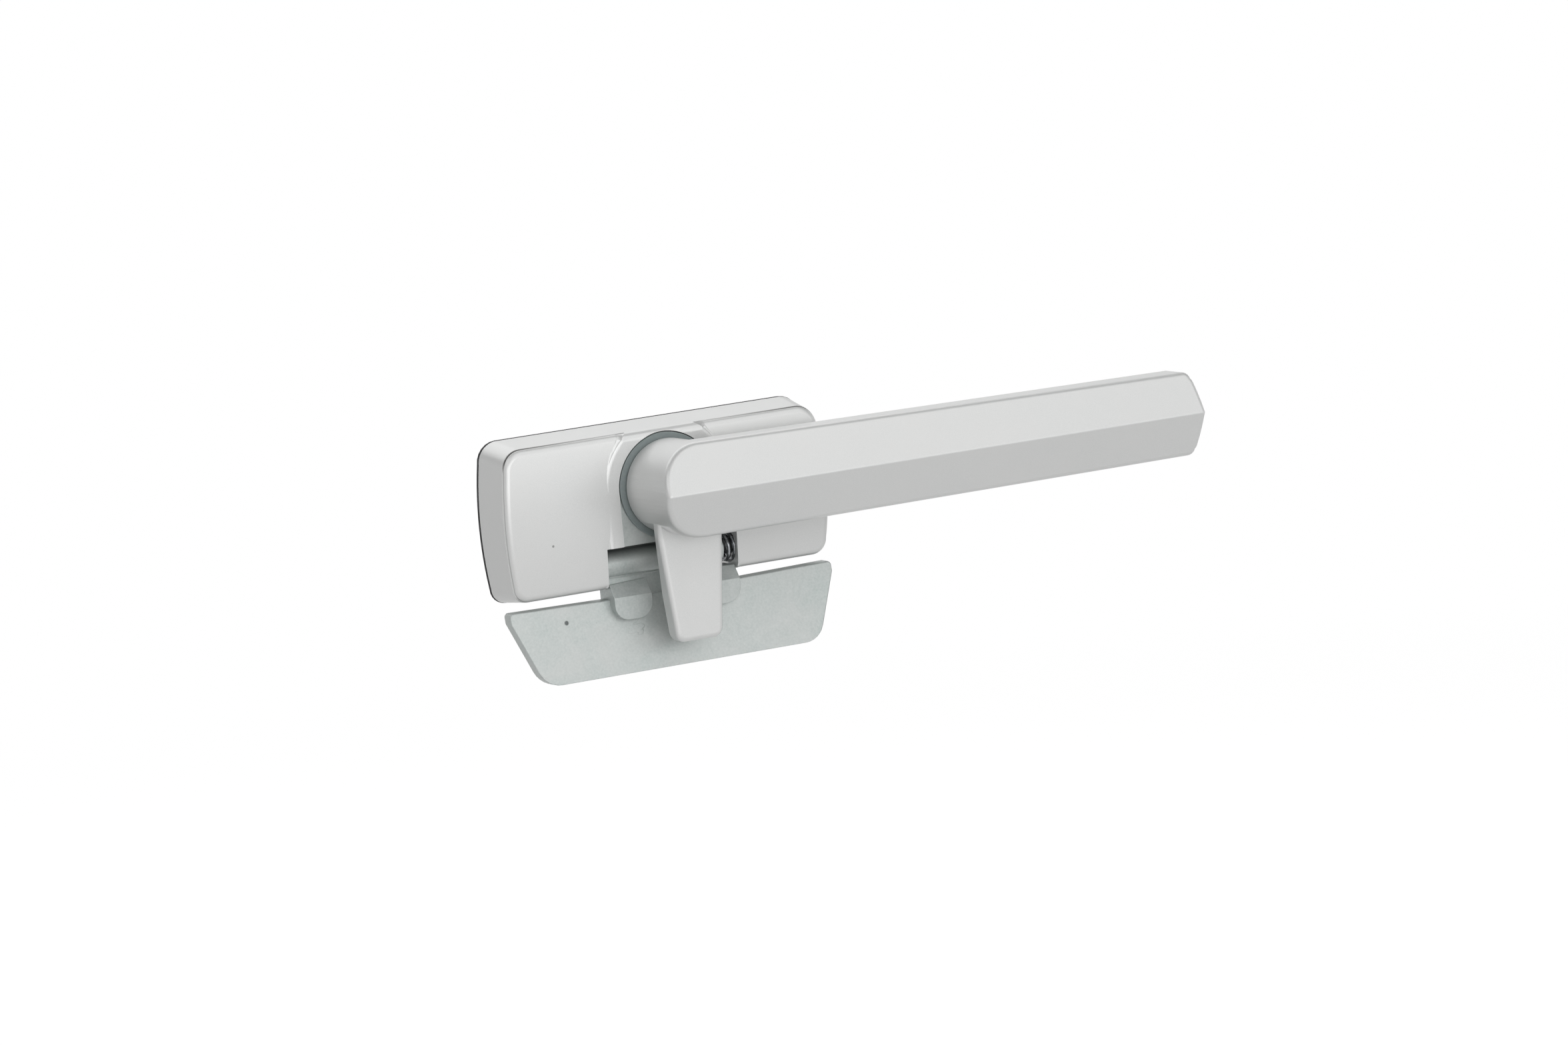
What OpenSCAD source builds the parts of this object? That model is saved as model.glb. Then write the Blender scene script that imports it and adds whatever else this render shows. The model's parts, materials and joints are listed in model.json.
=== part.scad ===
// Window fastener: a cam handle over a sprung tongue, screwed to the bottom rail of a sash.
// The hub's axis meets the mounting plane at the origin. The room is towards -Y, +Z is up.
// Heights named _h are measured from the mounting plane towards the room.

/* [Body] */
// Width of the body at its back
body_w = 72; // [66:1:84]
// Top edge of the body above the hub's axis, at its back
body_top = 12.4; // [12:0.1:16]
// Bottom edge of the body below the hub's axis, at its back
body_bottom = 19; // [18.6:0.1:24]
// Height of the body's flat pad
body_h = 10.4; // [10:0.1:13]
// How far each side leans in from back to front
side_draft = 0.9; // [0.4:0.1:2]
// How far the top leans in from back to front
top_draft = 1.4; // [0.4:0.1:1.6]
// How far the bottom leans in from back to front
bottom_draft = 0.6; // [0.2:0.1:1]
// How far the sides bow out at mid height
side_bow = 0.9; // [0.2:0.1:1.6]
// Radius of the body's upper corners
corner_top_r = 4.2; // [2.5:0.1:5]
// Radius of the body's lower corners
corner_bottom_r = 3; // [2:0.1:4]
// Rounding of the body's front edges
edge_r = 1; // [0.5:0.1:1.4]
// Radius of the front face's crown
crown_r = 130; // [90:5:300]
// Height on the front face where the crown is highest
crown_z = -1.5; // [-4:0.5:2]
// Thickness of the body's walls
wall = 2.1; // [1.6:0.1:2.4]
// Half width of the flat pad round the hub
pad_r = 13.4; // [12.6:0.1:15]

/* [Gasket and back plate] */
// Thickness of the gasket behind the body
gasket_t = 0.6; // [0.4:0.1:1.2]
// Width of the gasket's rim
gasket_rim = 2.4; // [2:0.1:3]
// Thickness of the back plate
plate_t = 1.2; // [1:0.1:1.4]
// Depth of the back plate's rear face in from the body's rim
plate_set = 0.2; // [0.1:0.1:0.4]
// Radius of the back plate screws' shanks
screw_r = 1.25; // [1:0.05:1.5]
// Radius of the back plate screws' heads
screw_head_r = 2.4; // [2.1:0.1:2.6]
// Length of the back plate screws
screw_len = 6; // [4:0.5:6.5]

/* [Fixing inserts] */
// Distance between the two fixing holes
fixing_pitch = 52; // [46:1:54]
// Height of the fixing holes from the hub's axis
fixing_z = -3; // [-5:0.5:0]
// Radius of the thread in the fixing inserts
thread_r = 2.1; // [1.6:0.05:2.5]
// Outer radius of the fixing inserts
insert_r = 3.6; // [3.2:0.1:4]
// Length of the fixing inserts
insert_len = 6.5; // [5:0.5:6.5]

/* [Hub] */
// Radius of the handle's hub
hub_r = 9.2; // [8.4:0.1:9.6]
// Radius of the bush's flange
flange_r = 10.3; // [10:0.1:10.5]
// Thickness of the bush's flange
flange_t = 0.6; // [0.4:0.1:1]
// Radius of the bush's barrel
bush_r = 7; // [6.2:0.1:7.4]
// Radius of the spindle
spindle_r = 5; // [4:0.1:5.4]
// How far the bearing plate's face lies below the pad
bearing_set = 0.5; // [0.3:0.1:0.8]
// Thickness of the bearing plate
bearing_t = 3.3; // [2.6:0.1:3.6]
// Thickness of the web that carries the bearing plate
web_t = 2; // [1.6:0.1:2.2]

/* [Spindle stack] */
// Thickness of the friction washer
friction_t = 0.5; // [0.3:0.1:0.7]
// Thickness of the stop washer
stop_t = 1; // [0.8:0.1:1.2]
// Radius of the stop washer's disc
stop_r = 6.4; // [6.2:0.1:6.6]
// Reach of the stop washer's lug
lug_reach = 8.4; // [8:0.1:8.5]
// Width of the stop washer's lug
lug_w = 3.4; // [2.4:0.1:4]
// Radius of the stop pins
stop_pin_r = 0.9; // [0.7:0.1:1]
// Distance of the stop pins from the hub's axis
stop_pin_at = 7.9; // [7.7:0.1:8]
// Width across the spindle's flats
flats_w = 8.4; // [7.6:0.1:9]
// Thickness of the disc spring's metal
disc_t = 0.3; // [0.2:0.05:0.4]
// Dish of the disc spring
disc_dish = 0.25; // [0.1:0.05:0.35]
// Thickness of the circlip
clip_t = 0.5; // [0.4:0.1:0.6]

/* [Handle] */
// Length of the blade from the hub's axis
blade_len = 110; // [80:1:140]
// Half height of the blade at its tip
blade_tip = 8.3; // [6:0.1:9]
// How far the blade's outline sinks below its ridge at the tip
blade_sag = 0.4; // [0:0.1:1]
// Height of the blade's back face
blade_back_h = 18.5; // [17:0.1:20]
// Height of the ridge over the hub
ridge_h = 28.8; // [27:0.1:31]
// How far the ridge rises from the hub to the tip
ridge_rise = 1.5; // [0:0.1:3]
// Slope of the blade's two facets
facet_slope = 26; // [15:1:30]
// Radius of the bow across the blade's end
end_bow_r = 42; // [30:1:100]
// Radius of the corners at the blade's end
end_corner_r = 1.4; // [0.5:0.1:3]
// Angle that the handle turns through
turn_angle = 90; // [80:1:92]

/* [Beak] */
// Half width of the beak where it leaves the hub
beak_root = 6.9; // [6:0.1:7.5]
// Half width of the beak at its tip
beak_tip = 5.1; // [4.4:0.1:6]
// Reach of the beak below the hub's axis
beak_reach = 29.6; // [27:0.1:32]
// Radius of the corners at the beak's tip
beak_corner_r = 2; // [1:0.1:3]
// Height of the beak's front face
beak_h = 18.4; // [17.4:0.1:18.4]
// Thickness of the beak where it leaves the hub
beak_root_t = 2.6; // [2:0.1:3.2]
// Thickness of the beak at its tip
beak_tip_t = 4; // [3:0.1:4.4]

/* [Tongue] */
// Height of the tongue pin's axis
pin_h = 5.6; // [5.4:0.1:6]
// Distance of the tongue pin's axis below the hub's axis
pin_z = 14.2; // [14:0.1:14.6]
// Radius of the tongue pin
pin_r = 1.6; // [1.2:0.05:1.8]
// Radius of the tongue's barrel
barrel_r = 3.2; // [2.8:0.1:3.2]
// Half width of the bay that the tongue swings in
bay_half = 14.1; // [14:0.1:14.6]
// Top of the bay below the hub's axis
bay_top = 10.6; // [10.4:0.1:10.7]
// Half width of the tongue in the bay
tongue_half = 13.7; // [13.2:0.05:13.7]
// Where the barrel stops short for the spring
barrel_stop = 11.6; // [10.6:0.1:11.6]
// Half width of the tongue's wide plate
flap_half = 35.1; // [30:0.1:38]
// Top edge of the wide plate below the hub's axis, at its ends
flap_top = 20.2; // [20.2:0.1:21]
// How far the plate's top edge dips towards the middle
flap_dip = 0.5; // [0:0.1:0.8]
// Bottom edge of the wide plate below the hub's axis
flap_bottom = 35; // [32:0.5:42]
// Height of the plate's front face at its top edge
flap_h = 8; // [7.6:0.1:8.4]
// Lean of the plate away from the sash, down its face
flap_lean = 10; // [4:1:12]
// Thickness of the wide plate
flap_t = 2.8; // [2.2:0.1:3]
// Slant of the plate's ends
flap_slant = 22; // [10:1:30]
// Radius of the plate's lower corners
flap_corner_r = 4.8; // [2:0.1:6]
// Half width of the channel between the two bosses
channel_half = 5.6; // [5:0.1:6.4]
// Bottom end of the bosses below the hub's axis
boss_bottom = 24.7; // [23.6:0.1:26]
// Radius of the bosses' lower corners
boss_corner_r = 3; // [1:0.1:3.6]
// Height of the bosses' front faces
boss_h = 10.3; // [9.6:0.1:10.4]

/* [Tongue spring] */
// Diameter of the spring's wire
wire_d = 0.8; // [0.6:0.05:0.8]
// Mean radius of the spring's coils
coil_r = 2.6; // [2.3:0.05:2.6]
// Number of coils
coils = 2; // [2:1:2]
// Distance between neighbouring coils
coil_pitch = 1.3; // [1.3:0.05:1.35]
// Length of the straight legs
leg_len = 4.6; // [3:0.1:4.8]

/* [Tongue pad] */
// Half width of the wear pad behind the plate
pad_half = 22; // [14:0.5:26]
// Height of the wear pad across the plate
pad_w = 4.5; // [3:0.1:6]
// Thickness of the wear pad
pad_t = 1.4; // [1:0.1:2]
// Distance of the wear pad's bottom edge from the plate's bottom edge
pad_inset = 1; // [0.5:0.5:2]
// Radius of the wear pad's pegs
peg_r = 1.2; // [0.8:0.1:1.5]
// Distance of the wear pad's pegs from the middle
peg_x = 15.5; // [8:0.5:20]

/* [Clearances] */
// Running clearance of a shaft in its bore
run_gap = 0.05; // [0.02:0.01:0.08]
// Clearance of a pressed piece in its seat
fit_gap = 0.02; // [0.01:0.01:0.04]
// Clearance between pieces that move past each other
free_gap = 0.3; // [0.25:0.05:0.4]
// Clearance of a loose cover or plate in its recess
loose_gap = 0.2; // [0.1:0.05:0.3]

/* [Hidden] */
$fn = 64;
// Small overlap that makes neighbouring shapes of one piece join, and cuts break through
eps = 0.5;
// Steps along a rounded edge in an outline
arc_steps = 6;
// Metal left round a screw, an insert and the hub's pocket
boss_wall = 1.6;
pocket_wall = 1.2;

// Body levels
front_top = body_top - top_draft;
front_bottom = body_bottom - bottom_draft;
wall_in_h = body_h - wall;
cavity_half = body_w / 2 - side_draft - wall;
cavity_top = front_top - wall;
cavity_bottom = front_bottom - wall;
cavity_corner_r = 2;
plate_h0 = gasket_t + plate_set;
plate_h1 = plate_h0 + plate_t;
insert_boss_r = insert_r + boss_wall;
insert_floor = 1;
// Angle at which a rounded edge runs into the crowned face
crown_meet = 10;

// Hub levels
face_h = body_h - bearing_set;
bearing_h0 = face_h - bearing_t;
web_h0 = bearing_h0 - web_t;
flange_h1 = face_h + flange_t;
hub_h0 = flange_h1 + free_gap;
pocket_r = flange_r + loose_gap;
web_r = pocket_r + pocket_wall;
stack_gap = 0.1;
friction_h0 = web_h0 - stack_gap - friction_t;
stop_h0 = friction_h0 - stack_gap - stop_t;
disc_h0 = stop_h0 - stack_gap - disc_t - disc_dish;
clip_h0 = disc_h0 - stack_gap - clip_t;
groove_depth = 0.7;
clip_opening = 3;
spindle_end = 0.6;
spindle_short = 1.5;
spindle_h0 = clip_h0 - spindle_end;
spindle_h1 = blade_back_h - spindle_short;
washer_r = 6;

// Bay levels
cheek_t = 3.4;
bay_roof = 2;
spring_pocket = 1.9;
spring_cheek_t = cheek_t + spring_pocket;
spring_x = barrel_stop + free_gap + wire_d / 2;
spring_pocket_r = coil_r + wire_d / 2 + free_gap;
pin_x0 = -bay_half - cheek_t + free_gap;
pin_x1 = bay_half + spring_cheek_t - free_gap;

// Screw places
boss_r = screw_r + boss_wall;
low_screw_x = bay_half + spring_cheek_t + screw_r + eps;
screw_at = [[cavity_half - boss_r, cavity_top - boss_r], [low_screw_x, boss_r - cavity_bottom]];
bearing_screw_at = [8, -6.2];
bearing_screw_r = 1;
bearing_head_r = 1.9;
bearing_head_t = 1.3;
bearing_screw_in = 2;

// Drawing helpers: outlines are drawn in X and Z and raised towards the room
module raised(h0, h1) {
    translate([0, -h0, 0])
        rotate([90, 0, 0])
            linear_extrude(h1 - h0) children();
}

// Profiles are drawn as height and Z, and run across the body from x0 to x1
module across(x0, x1) {
    translate([x0, 0, 0])
        rotate([90, 0, 90])
            linear_extrude(x1 - x0) mirror([1, 0]) children();
}

module round_bar(x0, x1, r) {
    translate([x0, 0, 0]) rotate([0, 90, 0]) cylinder(h = x1 - x0, r = r);
}

module disc(h0, h1, r) {
    translate([0, -h0, 0]) rotate([90, 0, 0]) cylinder(h = h1 - h0, r = r);
}

module cone(h0, h1, r0, r1) {
    translate([0, -h0, 0]) rotate([90, 0, 0]) cylinder(h = h1 - h0, r1 = r0, r2 = r1);
}

module both_sides() {
    children();
    mirror([1, 0, 0]) children();
}

function arc(cx, cy, r, from, to) =
    [for (i = [0:arc_steps]) let(a = from + (to - from) * i / arc_steps) [cx + r * cos(a), cy + r * sin(a)]];

// Right half of the body's outline, from the bottom up, with a bowed side between two round corners
function body_side(half, top, bottom) =
    let(low = corner_bottom_r - bottom, high = top - corner_top_r,
        mid = (high + low) / 2, span = (high - low) / 2, edge = half - side_bow)
    concat(arc(edge - corner_bottom_r, low, corner_bottom_r, -90, 0),
        [for (i = [1 - arc_steps:arc_steps - 1])
            [half - side_bow * pow(i / arc_steps, 2), mid + span * i / arc_steps]],
        arc(edge - corner_top_r, high, corner_top_r, 0, 90));

module body_outline(half, top, bottom) {
    side = body_side(half, top, bottom);
    polygon(concat(side, [for (i = [len(side) - 1:-1:0]) [-side[i][0], side[i][1]]]));
}

// Outer shape of the body: leaning sides, a crowned front face and rounded front edges
module body_envelope() {
    intersection() {
        hull() {
            raised(gasket_t, gasket_t + eps) body_outline(body_w / 2, body_top, body_bottom);
            raised(body_h - eps, body_h)
                body_outline(body_w / 2 - side_draft, front_top, front_bottom);
        }
        union() {
            intersection() {
                across(-body_w, body_w) crowned_profile();
                translate([0, 0, -body_w]) linear_extrude(2 * body_w) plan_profile();
            }
            pad_form();
        }
    }
}

// Flat pad round the hub, level with the crown's highest line
module pad_form() {
    intersection() {
        across(-pad_r, pad_r) flat_profile();
        raised(0, body_h) pad_outline();
    }
}

module pad_outline() {
    circle(pad_r);
    translate([-pad_r, -body_bottom]) square([2 * pad_r, body_bottom]);
}

// Height of the crowned face at a height z up the body
function crown_h(z) = body_h - pow(z - crown_z, 2) / (2 * crown_r);

// Section of the body in height and Z, with round front edges at the top and the bottom
module crowned_profile() {
    top_h = crown_h(front_top);
    bottom_h = crown_h(-front_bottom);
    face = [for (i = [arc_steps:-1:-arc_steps])
        let(z = crown_z + (front_top - edge_r - crown_z) * max(i, 0) / arc_steps
            + (front_bottom - edge_r + crown_z) * min(i, 0) / arc_steps) [crown_h(z), z]];
    polygon(concat([[0, body_top + eps], [top_h - edge_r, front_top + eps]],
        arc(top_h - edge_r, front_top - edge_r, edge_r, 90, crown_meet), face,
        arc(bottom_h - edge_r, edge_r - front_bottom, edge_r, -crown_meet, -90),
        [[bottom_h - edge_r, -front_bottom - eps], [0, -body_bottom - eps]]));
}

// The same section without the crown
module flat_profile() {
    polygon(concat([[0, body_top + eps], [body_h - edge_r, front_top + eps]],
        arc(body_h - edge_r, front_top - edge_r, edge_r, 90, 0),
        arc(body_h - edge_r, edge_r - front_bottom, edge_r, 0, -90),
        [[body_h - edge_r, -front_bottom - eps], [0, -body_bottom - eps]]));
}

// Plan of the body in X and Y, with round front edges at the two sides
module plan_profile() {
    half = body_w / 2 - side_draft;
    mirror([0, 1])
        polygon(concat([[-body_w, 0], [-body_w, body_h - edge_r], [-half, body_h - edge_r]],
            arc(edge_r - half, body_h - edge_r, edge_r, 180, 90),
            arc(half - edge_r, body_h - edge_r, edge_r, 90, 0),
            [[half, body_h - edge_r], [body_w, body_h - edge_r], [body_w, 0]]));
}

// Inner outline of the hollow body
module cavity_outline(gap) {
    half = cavity_half - gap - cavity_corner_r;
    top = cavity_top - gap - cavity_corner_r;
    bottom = cavity_bottom - gap - cavity_corner_r;
    for (x = [-half, half], z = [-bottom, top])
        translate([x, z]) circle(cavity_corner_r);
    translate([-half, -bottom - cavity_corner_r]) square([2 * half, top + bottom + 2 * cavity_corner_r]);
    translate([-half - cavity_corner_r, -bottom]) square([2 * (half + cavity_corner_r), top + bottom]);
}

module bay_outline(gap) {
    translate([-bay_half - gap, -body_bottom - eps])
        square([2 * (bay_half + gap), body_bottom + eps - bay_top + gap]);
}

// Arch and straight sides round the hub, as wide as r
module keyhole(r, bottom) {
    circle(r);
    translate([-r, -bottom]) square([2 * r, bottom]);
}

module base_gasket() {
    color("#1b1c1e")
        raised(0, gasket_t)
            difference() {
                body_outline(body_w / 2, body_top, body_bottom);
                difference() {
                    body_outline(body_w / 2 - gasket_rim, body_top - gasket_rim, body_bottom - gasket_rim);
                    translate([0, -body_bottom / 2 - bay_top / 2])
                        square([2 * (bay_half + gasket_rim), body_bottom - bay_top + 2 * gasket_rim], true);
                }
                bay_outline(0);
            }
}

// Ribs and bosses inside the hollow body
module body_inside() {
    wall_top = wall_in_h + eps;
    raised(web_h0, wall_top) keyhole(web_r, bay_top);
    both_sides() {
        translate([fixing_pitch / 2, 0, fixing_z]) disc(plate_h0, wall_top, insert_boss_r);
        for (at = screw_at) translate([at[0], 0, at[1]]) disc(plate_h1, wall_top, boss_r);
    }
    difference() {
        raised(plate_h1, wall_top)
            translate([-bay_half - cheek_t, -body_bottom])
                square([2 * bay_half + cheek_t + spring_cheek_t, body_bottom - bay_top + bay_roof]);
        bay_cut();
    }
}

module bay_cut() {
    raised(-eps, body_h + eps) bay_outline(0);
}

module body_casting() {
    color("#c9cbca")
        difference() {
            intersection() {
                union() {
                    difference() {
                        body_envelope();
                        raised(-eps, wall_in_h) cavity_outline(0);
                    }
                    body_inside();
                }
                body_envelope();
            }
            bay_cut();
            raised(bearing_h0, body_h + eps) keyhole(pocket_r, body_bottom);
            disc(web_h0 - eps, bearing_h0 + eps, bush_r + fit_gap);
            both_sides() {
                translate([fixing_pitch / 2, 0, fixing_z])
                    disc(0, plate_h0 + insert_len + free_gap, insert_r + fit_gap);
                for (at = screw_at)
                    translate([at[0], 0, at[1]]) disc(0, plate_h0 + screw_len + free_gap, screw_r + fit_gap);
                translate([bearing_screw_at[0], 0, bearing_screw_at[1]])
                    disc(0, bearing_h0 + eps, bearing_screw_r + free_gap);
            }
            stop_pin_places() disc(0, web_h0 + web_t / 2, stop_pin_r + fit_gap);
            pin_slots();
            spring_space();
        }
}

// Slots that take the ends of the tongue pin from behind
module pin_slots() {
    translate([0, -pin_h, -pin_z]) round_bar(pin_x0 - free_gap, pin_x1 + free_gap, pin_r + run_gap);
    slot_w = 2 * (pin_r + run_gap);
    translate([pin_x0 - free_gap, -pin_h, -pin_z - slot_w / 2])
        cube([pin_x1 - pin_x0 + 2 * free_gap, pin_h + eps, slot_w]);
}

// Pocket in the right cheek for the spring's coils and its upper leg
module spring_space() {
    depth = bay_half + spring_pocket;
    translate([0, -pin_h, -pin_z]) round_bar(bay_half - eps, depth, spring_pocket_r);
    translate([bay_half - eps, -pin_h, -pin_z]) {
        translate([0, 0, -spring_pocket_r]) cube([spring_pocket + eps, pin_h + eps, 2 * spring_pocket_r]);
        translate([0, coil_r - wire_d / 2 - free_gap, 0])
            cube([spring_pocket + eps, pin_h + eps, leg_len + free_gap]);
    }
}

module stop_pin_places() {
    aside = asin((lug_w / 2 + stop_pin_r + free_gap) / stop_pin_at);
    for (a = [-aside, turn_angle + aside])
        rotate([0, -a, 0]) translate([stop_pin_at, 0, 0]) children();
}

module back_plate() {
    color("#a9adb0")
        difference() {
            raised(plate_h0, plate_h1)
                difference() {
                    cavity_outline(loose_gap);
                    bay_outline(loose_gap);
                    both_sides_2d() translate([fixing_pitch / 2, fixing_z]) circle(insert_boss_r + loose_gap);
                    circle(washer_r + free_gap);
                }
            both_sides()
                for (at = screw_at)
                    translate([at[0], 0, at[1]]) {
                        cone(plate_h0 - fit_gap, plate_h1 + fit_gap,
                            screw_head_r + fit_gap, screw_r + fit_gap);
                        disc(plate_h0 - eps, plate_h1 + eps, screw_r + fit_gap);
                    }
        }
}

module both_sides_2d() {
    children();
    mirror([1, 0]) children();
}

module back_plate_screws() {
    color("#8f9498")
        both_sides()
            for (at = screw_at)
                translate([at[0], 0, at[1]]) {
                    cone(plate_h0, plate_h1, screw_head_r, screw_r);
                    disc(plate_h1 - fit_gap, plate_h0 + screw_len, screw_r);
                }
}

module fixing_inserts() {
    color("#b99a55")
        both_sides()
            translate([fixing_pitch / 2, 0, fixing_z])
                difference() {
                    disc(plate_h0, plate_h0 + insert_len, insert_r);
                    disc(0, plate_h0 + insert_len - insert_floor, thread_r);
                }
}

module bearing_plate() {
    color("#a7b0ad")
        difference() {
            raised(bearing_h0, face_h) keyhole(flange_r, bay_top);
            disc(bearing_h0 - eps, face_h + eps, bush_r + fit_gap);
            both_sides()
                translate([bearing_screw_at[0], 0, bearing_screw_at[1]])
                    disc(0, bearing_h0 + bearing_screw_in + free_gap, bearing_screw_r + fit_gap);
        }
}

module bearing_plate_screws() {
    color("#8f9498")
        both_sides()
            translate([bearing_screw_at[0], 0, bearing_screw_at[1]]) {
                disc(web_h0 - bearing_head_t, web_h0, bearing_head_r);
                disc(web_h0 - fit_gap, bearing_h0 + bearing_screw_in, bearing_screw_r);
            }
}

module hub_bush() {
    color("#7d8b8c")
        difference() {
            union() {
                disc(face_h, flange_h1, flange_r);
                disc(web_h0, face_h + fit_gap, bush_r);
            }
            disc(web_h0 - eps, flange_h1 + eps, spindle_r + run_gap);
        }
}

module stop_pins() {
    color("#8f9498")
        stop_pin_places() disc(stop_h0 - free_gap, web_h0 + web_t / 2 - fit_gap, stop_pin_r);
}

module friction_washer() {
    color("#e8e6dc") washer(friction_h0, friction_t, washer_r, spindle_r + run_gap);
}

module washer(h0, t, outer, inner) {
    difference() {
        disc(h0, h0 + t, outer);
        disc(h0 - eps, h0 + t + eps, inner);
    }
}

module tongue_pin() {
    color("#9ca1a4")
        translate([0, -pin_h, -pin_z]) round_bar(pin_x0, pin_x1, pin_r);
}

// Moulded plugs that close the slots behind the tongue pin
module pin_keepers() {
    color("#33363a") {
        keeper(pin_x0, -bay_half - free_gap);
        keeper(bay_half + spring_pocket + free_gap, pin_x1);
    }
}

module keeper(x0, x1) {
    keeper_w = 2 * (pin_r + run_gap - fit_gap);
    difference() {
        translate([x0, -pin_h, -pin_z - keeper_w / 2]) cube([x1 - x0, pin_h - plate_h1, keeper_w]);
        translate([0, -pin_h, -pin_z]) round_bar(x0 - eps, x1 + eps, pin_r + fit_gap);
    }
}

// Spring path: a straight lower leg, the coils round the tongue pin and a straight upper leg
coil_rings = 8;
function coil_point(t) =
    [spring_x + coil_pitch * t, -pin_h + coil_r * cos(360 * t), coil_r * sin(360 * t) - pin_z];
function coil_out(t) = [0, cos(360 * t), sin(360 * t)];
spring_steps = coils * coil_rings;
spring_end = coil_point(coils);
spring_path = concat([coil_point(0) - [0, 0, leg_len], coil_point(0) - [0, 0, wire_d]],
    [for (i = [0:spring_steps]) coil_point(i / coil_rings)],
    [spring_end + [0, 0, wire_d], spring_end + [0, 0, leg_len]]);
spring_out = concat([coil_out(0), coil_out(0)],
    [for (i = [0:spring_steps]) coil_out(i / coil_rings)], [coil_out(0), coil_out(0)]);

function unit(v) = v / norm(v);
function path_along(path, i) = unit(path[min(i + 1, len(path) - 1)] - path[max(i - 1, 0)]);

// Tube of six sides round a path, closed by a fan at each end
wire_sides = 6;
module wire(path, out) {
    last = len(path) - 1;
    points = [for (i = [0:last])
        let(u = unit(out[i] - path_along(path, i) * (out[i] * path_along(path, i))),
            v = cross(path_along(path, i), u))
        for (k = [0:wire_sides - 1])
            path[i] + wire_d / 2 * (cos(360 * k / wire_sides) * u + sin(360 * k / wire_sides) * v)];
    function at(i, k) = i * wire_sides + k % wire_sides;
    walls = [for (i = [0:last - 1], k = [0:wire_sides - 1], half = [0, 1])
        half == 0 ? [at(i, k), at(i + 1, k + 1), at(i, k + 1)]
        : [at(i, k), at(i + 1, k), at(i + 1, k + 1)]];
    caps = [for (k = [1:wire_sides - 2], far = [0, 1])
        far == 0 ? [at(0, 0), at(0, k), at(0, k + 1)]
        : [at(last, 0), at(last, k + 1), at(last, k)]];
    polyhedron(points, concat(walls, caps));
}

// Least distance between stretches of the wire that lie half a coil or more apart
spring_least_gap = min([for (i = [0:len(spring_path) - 1], j = [0:len(spring_path) - 1])
    if (j - i > coil_rings / 2) norm(spring_path[i] - spring_path[j]) - wire_d]);
echo(spring_least_gap = spring_least_gap);

module tongue_spring() {
    color("#8d9296") wire(spring_path, spring_out);
}

// Plan of the handle's hub and blade, with a bowed end and two round corners
module blade_outline() {
    circle(hub_r);
    rotate(-atan(blade_sag / blade_len)) blade_plan();
}

module blade_plan() {
    bow = end_bow_r - sqrt(pow(end_bow_r, 2) - pow(blade_tip, 2));
    corner_x = blade_len - bow - end_corner_r;
    corner_z = blade_tip - end_corner_r;
    bow_angle = asin(corner_z / end_bow_r);
    polygon(concat([[0, -hub_r]], arc(corner_x, -corner_z, end_corner_r, -90, -bow_angle),
        arc(blade_len - end_bow_r, 0, end_bow_r, -bow_angle, bow_angle),
        arc(corner_x, corner_z, end_corner_r, bow_angle, 90), [[0, hub_r]]));
}

// Two-sided roof over the blade, with its ridge rising towards the tip
module blade_roof() {
    rise = ridge_rise / blade_len;
    reach = 2 * hub_r;
    rotate([0, 0, -atan(rise)])
        across(-reach, blade_len + reach)
            polygon([[0, -reach], [ridge_h - reach * tan(facet_slope), -reach], [ridge_h, 0],
                [ridge_h - reach * tan(facet_slope), reach], [0, reach]]);
}

module handle() {
    color("#d6d8d8")
        difference() {
            union() {
                intersection() {
                    raised(blade_back_h, ridge_h + 2 * ridge_rise) blade_outline();
                    blade_roof();
                }
                disc(hub_h0, blade_back_h + eps, hub_r);
                beak();
            }
            disc(0, spindle_h1 + fit_gap, spindle_r + fit_gap);
        }
}

// The corners at the tip stop short of square by this angle, which bows its end a little
tip_bow = 10;

module beak_outline() {
    tip_z = beak_reach - beak_corner_r;
    side = atan((beak_root - beak_tip) / (beak_reach - hub_r));
    corner_x = beak_tip - beak_corner_r;
    polygon(concat([[-beak_root, -hub_r / 2], [-beak_root, -hub_r]],
        arc(-corner_x, -tip_z, beak_corner_r, 180 + side, 270 - tip_bow),
        arc(corner_x, -tip_z, beak_corner_r, 270 + tip_bow, 360 - side),
        [[beak_root, -hub_r], [beak_root, -hub_r / 2]]));
}

module beak() {
    intersection() {
        raised(0, beak_h) beak_outline();
        across(-hub_r, hub_r)
            polygon([[beak_h, 0], [beak_h, -beak_reach - eps], [beak_h - beak_tip_t, -beak_reach - eps],
                [beak_h - beak_tip_t, -beak_reach + hub_r], [beak_h - beak_root_t, -hub_r],
                [beak_h - beak_root_t, 0]]);
    }
}

module flats(gap) {
    square([2 * (spindle_r + eps), flats_w + 2 * gap], true);
}

module spindle() {
    color("#a2a7aa") {
        disc(web_h0, spindle_h1, spindle_r);
        difference() {
            raised(spindle_h0, web_h0 + fit_gap)
                intersection() {
                    circle(spindle_r);
                    flats(0);
                }
            clip_groove();
        }
    }
}

module clip_groove() {
    difference() {
        disc(clip_h0 - fit_gap, clip_h0 + clip_t + fit_gap, spindle_r + eps);
        disc(clip_h0 - eps, clip_h0 + clip_t + eps, flats_w / 2 - groove_depth);
    }
}

module stop_washer() {
    color("#9aa0a3")
        raised(stop_h0, stop_h0 + stop_t)
            difference() {
                union() {
                    circle(stop_r);
                    translate([0, -lug_w / 2]) square([lug_reach, lug_w]);
                }
                intersection() {
                    circle(spindle_r + fit_gap);
                    flats(fit_gap);
                }
            }
}

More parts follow.
